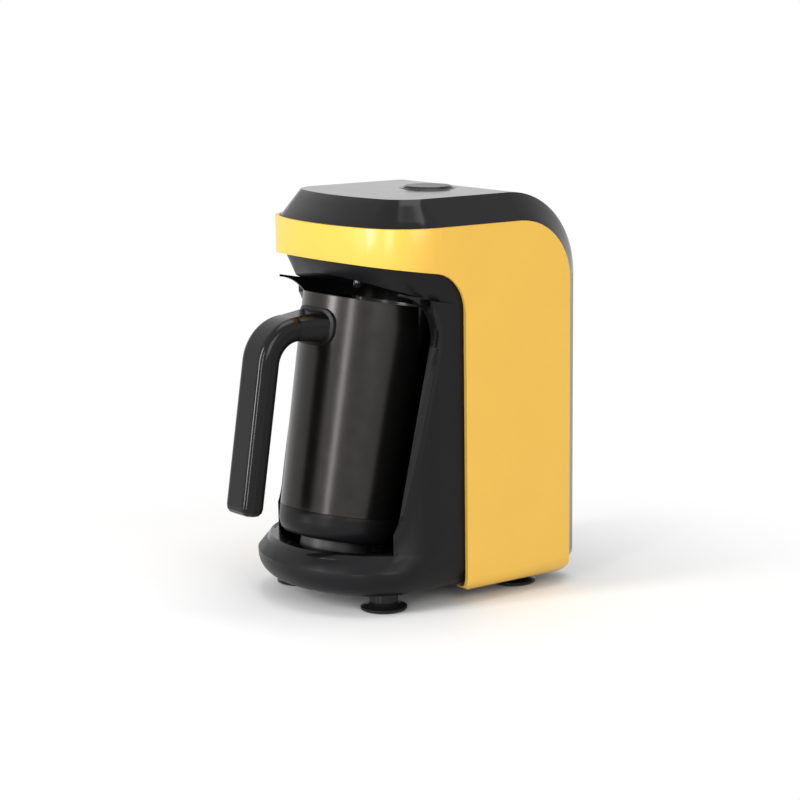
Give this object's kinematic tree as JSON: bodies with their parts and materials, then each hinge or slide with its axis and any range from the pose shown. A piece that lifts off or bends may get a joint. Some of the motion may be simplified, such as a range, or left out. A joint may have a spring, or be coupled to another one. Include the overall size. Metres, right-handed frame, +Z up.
{
  "type": "electric turkish coffee maker",
  "caption": "Compact electric coffee maker: a leaning lift-out metal jug stands in an open alcove under a visor, with a press button on top.",
  "frame": {"origin": "on the table, under the middle of the machine's overall box, handle included", "axes": "+Z up, -Y to the front, where the jug's handle is, +X to the right as seen from the front"},
  "size_m": [0.142, 0.2184, 0.2472],
  "materials": {
    "coloured_shell": "smooth gloss",
    "black_satin": "fine satin grain",
    "black_gloss": "polished",
    "jug_metal": "dark satin coating",
    "foot_rubber": "matt",
    "button_grey": "satin",
    "bright_trim": "bright",
    "plain_metal": "plain",
    "brass_contact": "plain",
    "circuit_board": "lacquered",
    "inner_plastic": "moulded",
    "lens_clear": "clear dark",
    "silicone": "soft",
    "spring_steel": "wire",
    "heater_metal": "cast",
    "transformer_tape": "wound"
  },
  "bodies": {
    "root": {"side_shell": "coloured_shell", "top_rear_cover": "black_gloss", "front_frame": "black_satin", "alcove_liner": "black_gloss", "base_tray": "black_satin", "foot_front_left": "foot_rubber", "foot_front_right": "foot_rubber", "foot_rear_left": "foot_rubber", "foot_rear_right": "foot_rubber", "dock_plate": "inner_plastic", "dock_connector": "inner_plastic", "dock_contact": "brass_contact", "button_cup": "inner_plastic", "button_trim_ring": "bright_trim", "control_board": "circuit_board", "switch_body": "inner_plastic", "chassis": "inner_plastic", "chassis_screws": "plain_metal", "power_board": "circuit_board", "board_standoffs": "brass_contact", "transformer": "transformer_tape", "relay": "inner_plastic", "terminal_block": "inner_plastic", "heat_sink": "heater_metal", "capacitors": "plain_metal", "buzzer": "inner_plastic", "wiring_harness": "inner_plastic", "board_screws": "plain_metal", "cord_gland": "foot_rubber", "sensor_lens": "lens_clear", "sensor_housing": "inner_plastic", "dock_cable": "inner_plastic"},
    "jug": {"jug_body": "jug_metal", "jug_base_ring": "black_satin", "jug_bottom_cover": "black_satin", "jug_coupler": "inner_plastic", "jug_heater": "heater_metal", "jug_thermostat": "plain_metal", "jug_seal": "silicone", "handle_outer": "black_gloss", "handle_inner": "black_satin", "handle_collar": "black_satin", "handle_bracket": "plain_metal"},
    "button": {"button_cap": "button_grey", "button_spring": "spring_steel"},
    "plunger": {"switch_plunger": "inner_plastic"}
  },
  "joints": [
    {"name": "jug_slide", "type": "slide", "parent": "root", "child": "jug", "axis": [0, -0.979, 0.2036], "range_m": [0, 0.13]},
    {"name": "button_press", "type": "slide", "parent": "root", "child": "button", "axis": [0, 0, -1], "range_m": [0, 0.0012], "stiffness_N_per_m": 400, "springref_m": -0.001, "deforming": ["button_spring"]},
    {"name": "plunger_press", "type": "slide", "parent": "root", "child": "plunger", "axis": [0, 0, -1], "range_m": [0, 0.0012]}
  ],
  "couplings": [
    {"joint": "plunger_press", "follows": "button_press", "ratio": 1}
  ]
}
